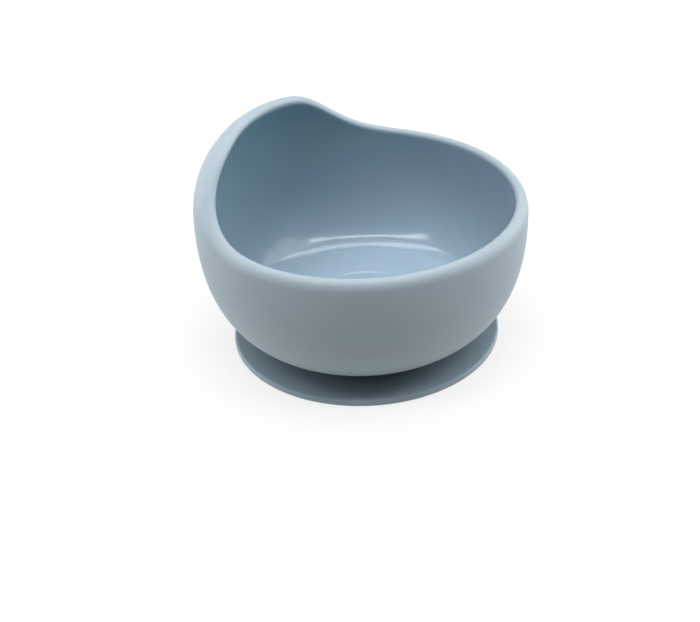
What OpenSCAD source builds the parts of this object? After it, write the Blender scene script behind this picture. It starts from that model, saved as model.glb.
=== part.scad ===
// Suction bowl for a small child: a silicone bowl with one high back, standing on a
// plug-in silicone suction base. Millimetres, +Z up, origin at the centre of the
// sealing lip on the table. The high back is towards +Y and the low front towards -Y.

/* [Bowl] */
// Largest outside diameter of the bowl
bowl_d = 120; // [110:1:130]
// Height of the widest girth above the table
girth_z = 50.6; // [49:0.2:52]
// Height at which the underside curve would close at the centre
belly_z = 2.1; // [1.5:0.1:2.5]
// How slowly the side turns in below the girth
belly_turn = 2.26; // [2.1:0.02:2.4]
// How full the side is low down
belly_full = 4; // [3.4:0.1:4.4]
// Rise from the girth to where the side would close above
crown_rise = 42; // [40:1:46]
// How slowly the side turns in above the girth
crown_turn = 2.35; // [2.1:0.05:2.6]
// How full the side is high up
crown_full = 2.4; // [2.1:0.1:2.6]
// Wall thickness
wall = 4.6; // [4.2:0.1:5]
// Height of the plane that the bowl's foot stands in
foot_z = 4.7; // [4.5:0.1:4.9]

/* [Rim] */
// Height of the level front rim, at the outer tangent of its round
rim_low = 53.6; // [52:0.2:56]
// How much higher the back is than the front
back_rise = 26; // [14:1:28]
// Slow extra rise from the front to the back
rim_tilt = 1.1; // [0:0.1:2]
// Angle from the middle of the back to the middle of the S-curve
curve_at = 48.4; // [40:0.2:60]
// Steepness of the S-curve, in degrees
curve_w = 7.3; // [6:0.1:12]
// How far the rim's crest lies inside the outer surface
crest_in = 3.0; // [2.4:0.1:3.2]
// How far below the rim's tangent height the outer shoulder starts to round over
shoulder = 1.8; // [0.6:0.1:2.4]
// Height of the tighter rounding on the inner edge
edge_h = 2.0; // [1.6:0.1:2.4]

/* [Floor] */
// Height of the inside floor above the table
floor_z = 12.6; // [12.4:0.2:14]
// Height of the fillet between floor and wall
fillet_h = 3.0; // [2:0.2:4]
// Radius of the shallow round dish in the middle of the floor, half way down its slope
centre_r = 21; // [18:0.5:26]
// Depth of the dish
centre_dip = 0.5; // [0.3:0.1:0.8]

/* [Socket and stud] */
// Radius of the recess under the bowl
recess_r = 29; // [27:0.5:30]
// Height of the recess roof above the table
seat_z = 6.6; // [6.4:0.1:7]
// Radius of the stud on the suction base
stud_r = 14; // [10:0.5:15]
// Height of the stud's top above the table
stud_top = 10.4; // [9.5:0.1:10.6]
// Radial clearance between the stud and its socket
stud_gap = 0.05; // [0.02:0.01:0.1]

/* [Suction base] */
// Diameter over the sealing lip's round edge
disc_d = 100; // [96:1:104]
// Thickness of the lip at its round edge
lip_t = 2.2; // [1.8:0.1:2.6]
// Height of the dome's inner edge above the table
dome_h = 6.0; // [5.6:0.1:6.2]
// Inner radius of the flat sealing face
seal_r = 43; // [40:0.5:45]
// Radius of the thick middle of the base
hub_r = 17; // [16:0.5:20]
// Height of the air space under the middle of the base
air_h = 3.2; // [2.6:0.1:3.4]

/* [Hidden] */
silicone = [0.56, 0.65, 0.71];
$fn = 96;
seg = 96;          // steps round the bowl
girth_r = bowl_d / 2;
skirt_gap = 0.05;  // radial clearance where the hub slides through the skirt
rings_out = 15;    // rings up the outside
rings_rim = 4;     // steps over each half of the rim
rings_in = 9;      // rings down the inside
rings_fillet = 4;  // steps round the floor fillet

// Outside radius of the bowl at height z
function side_r(z) = z <= girth_z
    ? girth_r * pow(1 - pow((girth_z - z) / (girth_z - belly_z), belly_turn), 1 / belly_full)
    : girth_r * pow(1 - pow((z - girth_z) / crown_rise, crown_turn), 1 / crown_full);
// Rate at which that radius grows with height
function side_slope(z) = (side_r(z + 0.02) - side_r(z - 0.02)) / 0.04;
// The point w inside the outer surface, square to it, from the outer point at height z
function inset(z, w) = let (s = side_slope(z), n = sqrt(1 + s * s)) [side_r(z) - w / n, z + w * s / n];
// Height of the rim's outer tangent, d degrees round from the middle of the back
function rim_z(d) = rim_low + back_rise / (1 + exp((d - curve_at) / curve_w)) + rim_tilt * (1 + cos(d)) / 2;
// Outer height whose inset point lies at height target
function find_z(target, a, b, k = 30) = k == 0 ? (a + b) / 2 :
    let (m = (a + b) / 2) inset(m, wall)[1] < target ? find_z(target, m, b, k - 1) : find_z(target, a, m, k - 1);

low_in = find_z(floor_z + fillet_h, foot_z, 30);
fillet_top = inset(low_in, wall);
corner_r = fillet_top[0] - fillet_h * side_slope(low_in);
floor_r = corner_r - (fillet_top[0] - corner_r);

// Outside of the wall, from the foot up to the shoulder: closer rings low down, where it turns fastest
function outside(h) = [for (i = [0 : rings_out]) let (z = foot_z + (h - shoulder - foot_z) * pow(i / rings_out, 1.6)) [side_r(z), z]];
// Over the rim: a quarter ellipse up from the shoulder to the crest, then a tighter one down to the inner edge
function over_rim(h) = let (s = side_slope(h), n = sqrt(1 + s * s), out = [1, -s] / n, up = [s, 1] / n,
        crest = inset(h, crest_in) + (wall / 2 + 0.1) * up, d = [side_r(h - shoulder), h - shoulder] - crest,
        across = d * out, rise = -(d * up))
    concat([for (i = [1 : rings_rim]) let (a = 90 * i / rings_rim) crest + across * cos(a) * out + rise * (sin(a) - 1) * up],
           [for (i = [1 : rings_rim - 1]) let (a = 90 * i / rings_rim) crest - (wall - crest_in) * sin(a) * out + edge_h * (cos(a) - 1) * up]);
// Inside of the wall, from the rim down to the fillet
function inside(h) = let (top = h + wall / 2 + 0.1 - edge_h)
    [for (i = [0 : rings_in]) inset(top + (low_in - top) * (1 - pow(1 - i / rings_in, 1.3)), wall)];
// Fillet from the wall to the floor
function fillet() = [for (i = [1 : rings_fillet]) let (t = i / rings_fillet)
    [(1 - t) * (1 - t) * fillet_top[0] + 2 * t * (1 - t) * corner_r + t * t * floor_r,
     floor_z + (1 - t) * (1 - t) * fillet_h]];
function section(h) = concat(outside(h), over_rim(h), inside(h), fillet());

module bowl_shell() {
    cuts = [for (i = [0 : seg - 1]) let (a = 360 * i / seg) section(rim_z(a <= 180 ? a : 360 - a))];
    rings = len(cuts[0]);
    pts = [for (k = [0 : rings - 1]) for (i = [0 : seg - 1])
        [cuts[i][k][0] * sin(360 * i / seg), cuts[i][k][0] * cos(360 * i / seg), cuts[i][k][1]]];
    sides = [for (k = [0 : rings - 2]) for (i = [0 : seg - 1]) for (t = [0, 1])
        let (a = k * seg + i, b = k * seg + (i + 1) % seg, c = a + seg, d = b + seg)
        t == 0 ? [a, d, c] : [a, b, d]];
    under = [[for (i = [0 : seg - 1]) seg - 1 - i]];
    base = [[for (i = [0 : seg - 1]) (rings - 1) * seg + i]];
    polyhedron(points = pts, faces = concat(sides, under, base), convexity = 6);
}

// The bowl: shell, shallow dish over the stud, recess and blind socket underneath
module bowl() {
    color(silicone) difference() {
        bowl_shell();
        translate([0, 0, floor_z - centre_dip]) cylinder(r1 = centre_r - 0.6, r2 = centre_r - 0.6 + 1.2 * (centre_dip + 1) / centre_dip, h = centre_dip + 1);
        translate([0, 0, foot_z - 1]) cylinder(r = recess_r, h = seat_z - foot_z + 1);
        translate([0, 0, foot_z - 1]) cylinder(r = stud_r + stud_gap, h = stud_top + 0.2 - foot_z + 1);
    }
}

// The thick middle of the suction base, with the shoulder that carries the bowl, and the stud
module base_hub() {
    color(silicone) rotate_extrude() polygon([
        [0, air_h], [hub_r - 0.5, air_h], [hub_r, air_h + 0.5], [hub_r, seat_z], [stud_r, seat_z],
        [stud_r, stud_top - 0.8], [stud_r - 0.8, stud_top], [0, stud_top]]);
}

// The thin flexible dome and its flat annular sealing lip
module suction_skirt() {
    top = 1.1;      // rounding of the lip's upper edge
    foot = 0.4;     // rounding of its lower edge
    r = disc_d / 2;
    color(silicone) rotate_extrude() polygon(concat(
        [[hub_r + skirt_gap, dome_h - 1.6], [hub_r + 3, dome_h - 1.7], [hub_r + 7, dome_h - 2.5], [hub_r + 11, dome_h - 3.6],
         [hub_r + 14, dome_h - 4.0], [hub_r + 19, dome_h - 4.5], [seal_r - 2, 1.0], [seal_r - 0.4, 0.6], [seal_r, 0]],
        [for (i = [0 : 4]) let (a = -90 + 22.5 * i) [r - foot + foot * cos(a), foot + foot * sin(a)]],
        [for (i = [0 : 5]) let (a = 17 * i) [r - top + top * cos(a), lip_t - top + top * sin(a)]],
        [[seal_r + 4, lip_t + 0.3], [seal_r - 1, lip_t + 0.8], [hub_r + 19, dome_h - 2.55], [hub_r + 14, dome_h - 2.25], [hub_r + 11, dome_h - 1.9],
         [hub_r + 7, dome_h - 1], [hub_r + 3, dome_h - 0.2], [hub_r + skirt_gap, dome_h]]));
}

bowl();
base_hub();
suction_skirt();
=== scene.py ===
"""Looks of the suction bowl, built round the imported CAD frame. Metres, +Z up, high back towards +Y."""
import math

import bpy
import numpy as np
from mathutils import Matrix, Vector


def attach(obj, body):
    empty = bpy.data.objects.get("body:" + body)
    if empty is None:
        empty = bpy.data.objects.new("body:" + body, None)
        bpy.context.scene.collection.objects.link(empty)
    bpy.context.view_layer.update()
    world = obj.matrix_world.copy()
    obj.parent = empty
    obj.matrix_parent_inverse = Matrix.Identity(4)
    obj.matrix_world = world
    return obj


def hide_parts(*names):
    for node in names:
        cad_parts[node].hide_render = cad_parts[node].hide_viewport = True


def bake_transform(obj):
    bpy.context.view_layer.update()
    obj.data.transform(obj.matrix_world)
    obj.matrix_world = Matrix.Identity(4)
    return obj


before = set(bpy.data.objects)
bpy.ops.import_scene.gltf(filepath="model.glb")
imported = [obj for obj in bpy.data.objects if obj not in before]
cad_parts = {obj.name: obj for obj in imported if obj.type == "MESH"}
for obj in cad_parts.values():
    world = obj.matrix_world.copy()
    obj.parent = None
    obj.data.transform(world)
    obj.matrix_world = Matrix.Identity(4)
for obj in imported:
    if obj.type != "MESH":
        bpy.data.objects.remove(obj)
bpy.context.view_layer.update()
MM = 0.001
scene = bpy.context.scene

# ------------------------------------------------------------------ camera
# The photograph's viewing angle: turned 59.8 degrees to the left of the front, 32.6 degrees above the table.
AZ, PITCH, ROLL = math.radians(-59.8), math.radians(32.6), math.radians(3.17)
DIST, PX_PER_MM = 475.0, 2.708
AIM = Vector((0, 0, 30.0))
OFF_X, OFF_Y = 5.84, 18.52
ahead = Vector((-math.sin(AZ) * math.cos(PITCH), math.cos(AZ) * math.cos(PITCH), -math.sin(PITCH)))
right = Vector((math.cos(AZ), math.sin(AZ), 0))
up = right.cross(ahead)
centre = AIM - DIST * ahead - OFF_X * right - OFF_Y * up
cam_x = math.cos(ROLL) * right - math.sin(ROLL) * up
cam_y = math.sin(ROLL) * right + math.cos(ROLL) * up
cam_data = bpy.data.cameras.new("camera")
cam_data.sensor_fit = "HORIZONTAL"
cam_data.sensor_width = 36.0
cam_data.lens = 36.0 * PX_PER_MM * DIST / 700.0
cam_data.clip_start, cam_data.clip_end = 0.01, 50
cam = bpy.data.objects.new("camera", cam_data)
cam.matrix_world = Matrix((
    (cam_x.x, cam_y.x, -ahead.x, centre.x * MM),
    (cam_x.y, cam_y.y, -ahead.y, centre.y * MM),
    (cam_x.z, cam_y.z, -ahead.z, centre.z * MM),
    (0, 0, 0, 1)))
scene.collection.objects.link(cam)
scene.camera = cam
scene.view_settings.view_transform = "Standard"
scene.view_settings.look = "None"

# ------------------------------------------------------------------ the bowl's design curves (mm)
GIRTH_R, GIRTH_Z, BELLY_Z, BELLY_TURN, BELLY_FULL = 60.0, 50.6, 2.1, 2.26, 4.0
CROWN_RISE, CROWN_TURN, CROWN_FULL = 42.0, 2.35, 2.4
WALL, FOOT_Z, FLOOR_Z, SEAT_Z = 4.6, 4.7, 12.6, 6.6
RIM_LOW, BACK_RISE, RIM_TILT, CURVE_AT, CURVE_W = 53.6, 26.0, 1.1, 48.4, 7.3
RECESS_R, STUD_R, STUD_TOP, HUB_R, AIR_H = 29.0, 14.0, 10.4, 17.0, 3.2
DISC_R, LIP_T, DOME_H, SEAL_R = 50.0, 2.2, 6.0, 43.0
CENTRE_R, CENTRE_DIP, FILLET_H = 21.0, 0.5, 3.03


def side_r(z):
    z = np.asarray(z, float)
    low = np.clip((GIRTH_Z - z) / (GIRTH_Z - BELLY_Z), 0, 1)
    high = np.clip((z - GIRTH_Z) / CROWN_RISE, 0, 1)
    return np.where(z <= GIRTH_Z, GIRTH_R * (1 - low ** BELLY_TURN) ** (1 / BELLY_FULL),
                    GIRTH_R * (1 - high ** CROWN_TURN) ** (1 / CROWN_FULL))


def side_slope(z):
    return (side_r(np.asarray(z) + 0.02) - side_r(np.asarray(z) - 0.02)) / 0.04


def inset(z, w):
    s = side_slope(z)
    n = np.sqrt(1 + s * s)
    return np.stack([side_r(z) - w / n, z + w * s / n], -1)


def rim_z(d):
    """Height of the rim's outer tangent, d degrees from the middle of the back."""
    return RIM_LOW + BACK_RISE / (1 + np.exp((d - CURVE_AT) / CURVE_W)) + RIM_TILT * (1 + np.cos(np.radians(d))) / 2


def find_z(target):
    a, b = FOOT_Z, 30.0
    for _ in range(40):
        m = (a + b) / 2
        if inset(m, WALL)[1] < target:
            a = m
        else:
            b = m
    return (a + b) / 2


def rounded(points, steps=5):
    """A polyline in (r, z) whose corners are rounded: each point is (r, z, radius)."""
    out = []
    for i, (r, z, rad) in enumerate(points):
        p = np.array([r, z], float)
        if rad <= 0 or i in (0, len(points) - 1):
            out.append(p)
            continue
        a, b = np.array(points[i - 1][:2], float), np.array(points[i + 1][:2], float)
        u, v = a - p, b - p
        lu, lv = np.linalg.norm(u), np.linalg.norm(v)
        u, v = u / lu, v / lv
        half = math.acos(max(-1, min(1, float(u @ v)))) / 2
        if half > math.pi / 2 - 0.01:
            out.append(p)
            continue
        t = min(rad / math.tan(half), 0.48 * lu, 0.48 * lv)
        rr = t * math.tan(half)
        mid = (u + v) / np.linalg.norm(u + v)
        c = p + mid * rr / math.sin(half)
        s0, s1 = p + u * t - c, p + v * t - c
        a0 = math.atan2(s0[1], s0[0])
        turn = math.atan2(s0[0] * s1[1] - s0[1] * s1[0], float(s0 @ s1))
        out += [c + rr * np.array([math.cos(a0 + turn * k / steps), math.sin(a0 + turn * k / steps)]) for k in range(steps + 1)]
    return np.array(out)


def spun(name, sections, closed_ends, materials, material_of):
    """A round mesh from one (r, z) section per direction, all with the same number of points. Points on the axis become one vertex."""
    n, m = len(sections), len(sections[0])
    ang = np.arange(n) * 2 * math.pi / n
    first_axis, last_axis = closed_ends
    verts, index = [], np.zeros((m, n), int)
    for k in range(m):
        if (k == 0 and first_axis) or (k == m - 1 and last_axis):
            index[k, :] = len(verts)
            verts.append((0, 0, float(sections[0][k][1]) * MM))
        else:
            for i in range(n):
                r, z = sections[i][k]
                index[k, i] = len(verts)
                verts.append((r * math.sin(ang[i]) * MM, r * math.cos(ang[i]) * MM, z * MM))
    faces, mats = [], []
    rows = range(m) if closed_ends == (False, False) else range(m - 1)
    for k in rows:
        k2 = (k + 1) % m
        for i in range(n):
            j = (i + 1) % n
            q = [int(index[k, i]), int(index[k2, i]), int(index[k2, j]), int(index[k, j])]
            q = [v for p, v in enumerate(q) if v != q[p - 1]]
            faces.append(q)
            mats.append(material_of(k))
    mesh = bpy.data.meshes.new(name)
    mesh.from_pydata(verts, [], faces)
    for mat in materials:
        mesh.materials.append(mat)
    mesh.polygons.foreach_set("material_index", mats)
    mesh.polygons.foreach_set("use_smooth", [True] * len(faces))
    mesh.update()
    mesh.validate()
    obj = bpy.data.objects.new(name, mesh)
    scene.collection.objects.link(obj)
    return obj


# ------------------------------------------------------------------ materials
def silicone(name, base, dark, rough, rough_spread, grain, grain_bump, soft, sheen, painted_shade_colour=None):
    """Moulded silicone: a slow mottling of tone, a fine grain from the mould, and roughness that varies with handling.
    The last argument, if given, is painted shade: a colour that multiplies the base colour more and more towards the
    top of the high back, making it darker and greener there, standing in for the dimmer light that falls on that part
    of the inside.
    """
    mat = bpy.data.materials.new(name)
    mat.use_nodes = True
    nt = mat.node_tree
    nodes, links = nt.nodes, nt.links
    nodes.clear()
    out = nodes.new("ShaderNodeOutputMaterial")
    bsdf = nodes.new("ShaderNodeBsdfPrincipled")
    links.new(bsdf.outputs[0], out.inputs[0])
    bsdf.inputs["IOR"].default_value = 1.43
    bsdf.inputs["Subsurface Weight"].default_value = soft
    bsdf.inputs["Subsurface Radius"].default_value = (0.6, 0.8, 1.0)
    bsdf.inputs["Subsurface Scale"].default_value = 0.0018
    bsdf.inputs["Sheen Weight"].default_value = sheen
    bsdf.inputs["Sheen Roughness"].default_value = 0.45
    bsdf.inputs["Sheen Tint"].default_value = (0.86, 0.93, 1.0, 1)
    where = nodes.new("ShaderNodeTexCoord")
    # slow mottling of the pigment
    mottle = nodes.new("ShaderNodeTexNoise")
    mottle.inputs["Scale"].default_value = 38
    mottle.inputs["Detail"].default_value = 3
    mottle.inputs["Roughness"].default_value = 0.55
    links.new(where.outputs["Object"], mottle.inputs["Vector"])
    ramp = nodes.new("ShaderNodeValToRGB")
    ramp.color_ramp.elements[0].position, ramp.color_ramp.elements[0].color = 0.32, (*dark, 1)
    ramp.color_ramp.elements[1].position, ramp.color_ramp.elements[1].color = 0.68, (*base, 1)
    links.new(mottle.outputs["Fac"], ramp.inputs["Fac"])
    colour = ramp.outputs["Color"]
    # painted shade: the colour is multiplied down by height on the high back, as Y/2 + Z runs from 40 to 100 mm
    if painted_shade_colour:
        axes = nodes.new("ShaderNodeSeparateXYZ")
        links.new(where.outputs["Object"], axes.inputs[0])
        height = nodes.new("ShaderNodeMath")
        height.operation = "MULTIPLY_ADD"
        height.inputs[1].default_value = 0.5
        links.new(axes.outputs["Y"], height.inputs[0])
        links.new(axes.outputs["Z"], height.inputs[2])
        share = nodes.new("ShaderNodeMapRange")
        share.inputs["From Min"].default_value = 0.040
        share.inputs["From Max"].default_value = 0.100
        links.new(height.outputs[0], share.inputs["Value"])
        painted_shade_mix = nodes.new("ShaderNodeMix")
        painted_shade_mix.data_type, painted_shade_mix.blend_type = "RGBA", "MULTIPLY"
        colours = [i for i in painted_shade_mix.inputs if i.type == "RGBA"]
        colours[1].default_value = (*painted_shade_colour, 1)
        links.new(share.outputs["Result"], painted_shade_mix.inputs["Factor"])
        links.new(colour, colours[0])
        colour = [o for o in painted_shade_mix.outputs if o.type == "RGBA"][0]
    links.new(colour, bsdf.inputs["Base Color"])
    # handling: patches a little glossier than the rest
    patch = nodes.new("ShaderNodeTexNoise")
    patch.inputs["Scale"].default_value = 90
    patch.inputs["Detail"].default_value = 4
    links.new(where.outputs["Object"], patch.inputs["Vector"])
    span = nodes.new("ShaderNodeMapRange")
    span.inputs["To Min"].default_value = rough - rough_spread
    span.inputs["To Max"].default_value = rough + rough_spread
    links.new(patch.outputs["Fac"], span.inputs["Value"])
    links.new(span.outputs["Result"], bsdf.inputs["Roughness"])
    # the mould's fine grain, over a faint waviness
    fine = nodes.new("ShaderNodeTexNoise")
    fine.inputs["Scale"].default_value = grain
    fine.inputs["Detail"].default_value = 2
    links.new(where.outputs["Object"], fine.inputs["Vector"])
    bump = nodes.new("ShaderNodeBump")
    bump.inputs["Strength"].default_value = grain_bump
    bump.inputs["Distance"].default_value = 0.00006
    links.new(fine.outputs["Fac"], bump.inputs["Height"])
    wave = nodes.new("ShaderNodeBump")
    wave.inputs["Strength"].default_value = 0.25
    wave.inputs["Distance"].default_value = 0.0003
    links.new(mottle.outputs["Fac"], wave.inputs["Height"])
    links.new(wave.outputs["Normal"], bump.inputs["Normal"])
    links.new(bump.outputs["Normal"], bsdf.inputs["Normal"])
    return mat


OUTSIDE = silicone("silicone_outside", (0.226, 0.278, 0.313), (0.217, 0.267, 0.301), 0.56, 0.05, 2600, 0.35, 0.12, 0.10)
# the inside's last colour is painted shade, darkening the inside towards the top of the high back
INSIDE = silicone("silicone_inside", (0.205, 0.273, 0.338), (0.197, 0.263, 0.327), 0.16, 0.02, 1500, 0.12, 0.12, 0.04, (0.69, 0.94, 0.91))
BASE = silicone("silicone_base", (0.201, 0.266, 0.309), (0.193, 0.256, 0.298), 0.50, 0.05, 2600, 0.3, 0.10, 0.06)

# ------------------------------------------------------------------ bowl
SEG = 256
low_in = find_z(FLOOR_Z + FILLET_H)
wall_end = inset(low_in, WALL)
under = rounded([(0, STUD_TOP + 0.2, 0), (STUD_R + 0.05, STUD_TOP + 0.2, 0.5), (STUD_R + 0.05, SEAT_Z, 0.4), (RECESS_R, SEAT_Z, 0.8),
                 (RECESS_R, FOOT_Z, 0.7), (float(side_r(FOOT_Z)) - 0.4, FOOT_Z, 0.6)], 4)[:-1]
# soft corner at the floor's edge, a gently sloping band, and a second soft corner where the wall begins
TILT = np.array([(-6.1, 0), (-5.6, 5), (-5.1, 14), (-4.6, 20.5), (-4.0, 23.2), (-3.3, 25.4), (-2.6, 27.5), (-1.8, 30.2), (-1.25, 35.5), (-0.9, 39.8), (-0.4, 43.2), (0, 45.2)])
step_r = np.linspace(-6.1, 0, 62)
step_t = np.interp(step_r, TILT[:, 0], TILT[:, 1])
rise_z = np.concatenate([[0], np.cumsum(np.tan(np.radians((step_t[1:] + step_t[:-1]) / 2)) * np.diff(step_r))])
rise_z *= FILLET_H / rise_z[-1]
fillet = np.stack([float(wall_end[0]) + step_r, FLOOR_Z + rise_z], -1)[::-1][1:]
inner_floor = np.concatenate([fillet, rounded([(36, FLOOR_Z, 0), (CENTRE_R + 0.64, FLOOR_Z, 2.0), (CENTRE_R - 0.64, FLOOR_Z - CENTRE_DIP, 2.0),
                                               (12, FLOOR_Z - CENTRE_DIP, 0), (0, FLOOR_Z - CENTRE_DIP, 0)], 6)])
N_OUT, N_RIM, N_IN = 34, 8, 30
SHOULDER, RIM_OUT, RIM_UP, RIM_IN_H = 1.8, 3.0, 0.1, 2.0


def bowl_section(h):
    foot = h - SHOULDER
    z = FOOT_Z + (foot - FOOT_Z) * (np.arange(N_OUT + 1) / N_OUT) ** 1.5
    outer = np.stack([side_r(z), z], -1)
    s = float(side_slope(h))
    n = math.sqrt(1 + s * s)
    out_dir, up_dir = np.array([1 / n, -s / n]), np.array([s / n, 1 / n])
    # outer shoulder: a quarter ellipse that rises from the wall; inner edge: a tighter one that falls to the inside
    crest = inset(h, RIM_OUT) + (WALL / 2 + RIM_UP) * up_dir
    start = outer[-1]
    across = float((start - crest) @ out_dir)
    rise = -float((start - crest) @ up_dir)
    a = np.radians(90 * np.arange(1, N_RIM + 1) / N_RIM)
    shoulder = crest - rise * up_dir + across * np.cos(a)[:, None] * out_dir + rise * np.sin(a)[:, None] * up_dir
    b = np.radians(90 * np.arange(1, N_RIM) / N_RIM)
    edge = crest - RIM_IN_H * up_dir - (WALL - RIM_OUT) * np.sin(b)[:, None] * out_dir + RIM_IN_H * np.cos(b)[:, None] * up_dir
    top_in = h + WALL / 2 + RIM_UP - RIM_IN_H
    t = 1 - (1 - np.arange(N_IN + 1) / N_IN) ** 1.2
    inner = inset(top_in + (low_in - top_in) * t, WALL)
    return np.concatenate([under, outer, shoulder, edge, inner, inner_floor])


angles = np.degrees(np.arange(SEG) * 2 * math.pi / SEG)
sections = [bowl_section(float(rim_z(min(a, 360 - a)))) for a in angles]
n_outside = len(under) + N_OUT + 1 + N_RIM + N_RIM // 2
bowl = spun("bowl_silicone", sections, (True, True), [OUTSIDE, INSIDE], lambda k: 0 if k < n_outside else 1)
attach(bowl, "bowl")
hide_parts("bowl")

# ------------------------------------------------------------------ suction base: thick middle with its stud
hub_section = rounded([(0, AIR_H, 0), (HUB_R - 0.1, AIR_H, 0.3), (HUB_R, SEAT_Z - 0.02, 0.35), (STUD_R, SEAT_Z - 0.02, 0.3),
                       (STUD_R, STUD_TOP, 0.9), (0, STUD_TOP, 0)], 5)
hub = spun("base_middle_and_stud", [hub_section] * 160, (True, True), [BASE], lambda k: 0)
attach(hub, "base_hub")
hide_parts("base_hub")

# ------------------------------------------------------------------ suction base: flexible skirt and sealing lip
skirt_section = rounded(
    [(HUB_R + 0.05, DOME_H - 1.6, 0.3), (HUB_R + 3, DOME_H - 1.7, 3), (HUB_R + 7, DOME_H - 2.5, 5), (HUB_R + 11, DOME_H - 3.6, 6),
     (HUB_R + 14, DOME_H - 4.0, 5), (HUB_R + 19, DOME_H - 4.5, 5), (SEAL_R - 2, 1.0, 2), (SEAL_R - 0.4, 0.6, 0.3), (SEAL_R, 0.0, 0.2),
     (DISC_R, 0.0, 0.6), (DISC_R, LIP_T, 1.3),
     (SEAL_R + 4, LIP_T + 0.3, 6), (SEAL_R - 1, LIP_T + 0.8, 12), (HUB_R + 19, DOME_H - 2.55, 10), (HUB_R + 14, DOME_H - 2.25, 6), (HUB_R + 11, DOME_H - 1.9, 4),
     (HUB_R + 7, DOME_H - 1, 5), (HUB_R + 3, DOME_H - 0.2, 4), (HUB_R + 0.05, DOME_H, 0.3)], 7)
skirt = spun("suction_skirt_silicone", [skirt_section] * 224, (False, False), [BASE], lambda k: 0)
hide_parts("suction_skirt")
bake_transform(skirt)

# ------------------------------------------------------------------ floor and light
def plain(name, colour, rough):
    mat = bpy.data.materials.new(name)
    mat.use_nodes = True
    b = mat.node_tree.nodes["Principled BSDF"]
    b.inputs["Base Color"].default_value = (*colour, 1)
    b.inputs["Roughness"].default_value = rough
    return mat


mesh = bpy.data.meshes.new("table")
mesh.from_pydata([(-3, -3, -0.00003), (3, -3, -0.00003), (3, 3, -0.00003), (-3, 3, -0.00003)], [], [(0, 1, 2, 3)])
table = bpy.data.objects.new("table", mesh)
paper = plain("table_paper", (0.12, 0.12, 0.12), 0.9)
paper.node_tree.nodes["Principled BSDF"].inputs["Emission Color"].default_value = (1, 1, 1, 1)
# the paper's glow is even round the object and rises to plain white far away, where it meets the background
glow = paper.node_tree.nodes["Principled BSDF"].inputs["Emission Strength"]
away = paper.node_tree.nodes.new("ShaderNodeVectorMath")
away.operation = "LENGTH"
spread = paper.node_tree.nodes.new("ShaderNodeMapRange")
for socket, value in (("From Min", 0.45), ("From Max", 1.0), ("To Min", 0.768), ("To Max", 1.0)):
    spread.inputs[socket].default_value = value
paper.node_tree.links.new(paper.node_tree.nodes.new("ShaderNodeTexCoord").outputs["Object"], away.inputs[0])
paper.node_tree.links.new(away.outputs["Value"], spread.inputs["Value"])
paper.node_tree.links.new(spread.outputs["Result"], glow)
mesh.materials.append(paper)
scene.collection.objects.link(table)

flat_ahead = Vector((-math.sin(AZ), math.cos(AZ), 0))


def softbox(name, toward, dist, size, size_y, power, colour=(1, 1, 1), spin=0.0):
    """An area light dist metres away; toward is (right, ahead, up) as the camera sees the object. spin turns it in its own plane, in degrees."""
    d = (right * toward[0] + flat_ahead * toward[1] + Vector((0, 0, toward[2]))).normalized()
    data = bpy.data.lights.new(name, "AREA")
    data.shape = "RECTANGLE"
    data.size, data.size_y = size, size_y
    data.energy = power
    data.color = colour
    o = bpy.data.objects.new(name, data)
    o.location = Vector((0, 0, 0.04)) + d * dist
    z = d
    x = (right - right.dot(z) * z).normalized()
    y = z.cross(x)
    a = math.radians(spin)
    x, y = x * math.cos(a) + y * math.sin(a), y * math.cos(a) - x * math.sin(a)
    o.rotation_euler = Matrix((x, y, z)).transposed().to_euler()
    scene.collection.objects.link(o)
    return o


# A tent of soft light: a ceiling too diffuse to mirror, two side walls set back, and two long lamps that draw the arcs on the floor's edge
COOL = (0.97, 1.0, 1.03)
softbox("ceiling", (0, 0, 1), 1.2, 0.8, 0.8, 14.2).visible_glossy = False
softbox("ceiling_left", (-0.7, 0, 0.7), 1.2, 0.8, 0.8, 1.6)
softbox("ceiling_right", (0.7, 0, 0.7), 1.2, 0.8, 0.8, 4.9)
softbox("wall_left", (-0.94, 0.34, 0.15), 0.9, 0.7, 0.7, 4.6, COOL)
softbox("wall_right", (0.94, 0.34, 0.15), 0.9, 0.7, 0.7, 5.2, COOL)
softbox("low_left", (-1, 0.1, 0), 0.8, 0.8, 0.5, 2.7, COOL)
softbox("low_right", (1, 0.1, 0), 0.8, 0.8, 0.5, 1.8, COOL)
softbox("lamp_near", (-0.05, -0.229, 0.595), 0.643, 1.10, 0.064, 3.5, spin=-3.5)
softbox("lamp_far", (0, 0.195, 0.595), 0.62, 0.916, 0.116, 2.3)

# The world gives almost no light of its own; seen directly it is as pale as the floor
world = bpy.data.worlds.new("studio")
scene.world = world
world.use_nodes = True
tree = world.node_tree
bg = tree.nodes["Background"]
bg.inputs["Color"].default_value = (1.0, 1.0, 1.0, 1)
bg.inputs["Strength"].default_value = 0.02
seen = tree.nodes.new("ShaderNodeBackground")
seen.inputs["Color"].default_value = (1.0, 1.0, 1.0, 1)
seen.inputs["Strength"].default_value = 1.0
ray = tree.nodes.new("ShaderNodeLightPath")
pick = tree.nodes.new("ShaderNodeMixShader")
tree.links.new(ray.outputs["Is Camera Ray"], pick.inputs[0])
tree.links.new(bg.outputs[0], pick.inputs[1])
tree.links.new(seen.outputs[0], pick.inputs[2])
tree.links.new(pick.outputs[0], tree.nodes["World Output"].inputs["Surface"])
